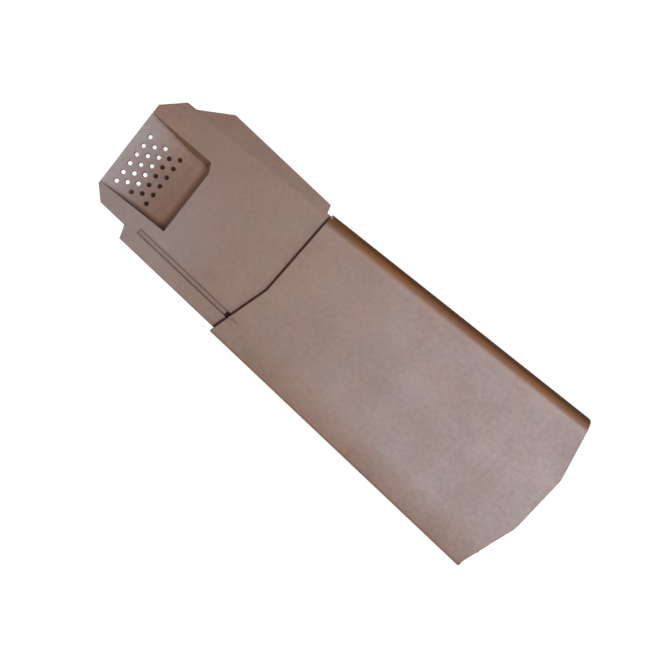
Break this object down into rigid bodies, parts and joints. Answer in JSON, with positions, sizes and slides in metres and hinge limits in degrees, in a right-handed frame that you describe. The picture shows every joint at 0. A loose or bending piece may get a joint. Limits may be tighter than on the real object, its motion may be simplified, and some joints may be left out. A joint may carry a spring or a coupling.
{
  "type": "dry verge cap",
  "caption": "Left-hand dry verge cap: a one-piece plastic channel that closes the open side of a tiled roof, with a recessed head and a vented nose.",
  "frame": {"origin": "centre of the footprint, on the underside of the bottom flange", "axes": "+X down the roof slope from the head to the tail, +Y inward from the outer face, +Z square off the rafters"},
  "size_m": [0.48, 0.05, 0.1727],
  "materials": {
    "verge_plastic": "fine satin grain, brown"
  },
  "bodies": {
    "root": {"dry_verge_cap": "verge_plastic"}
  },
  "joints": []
}
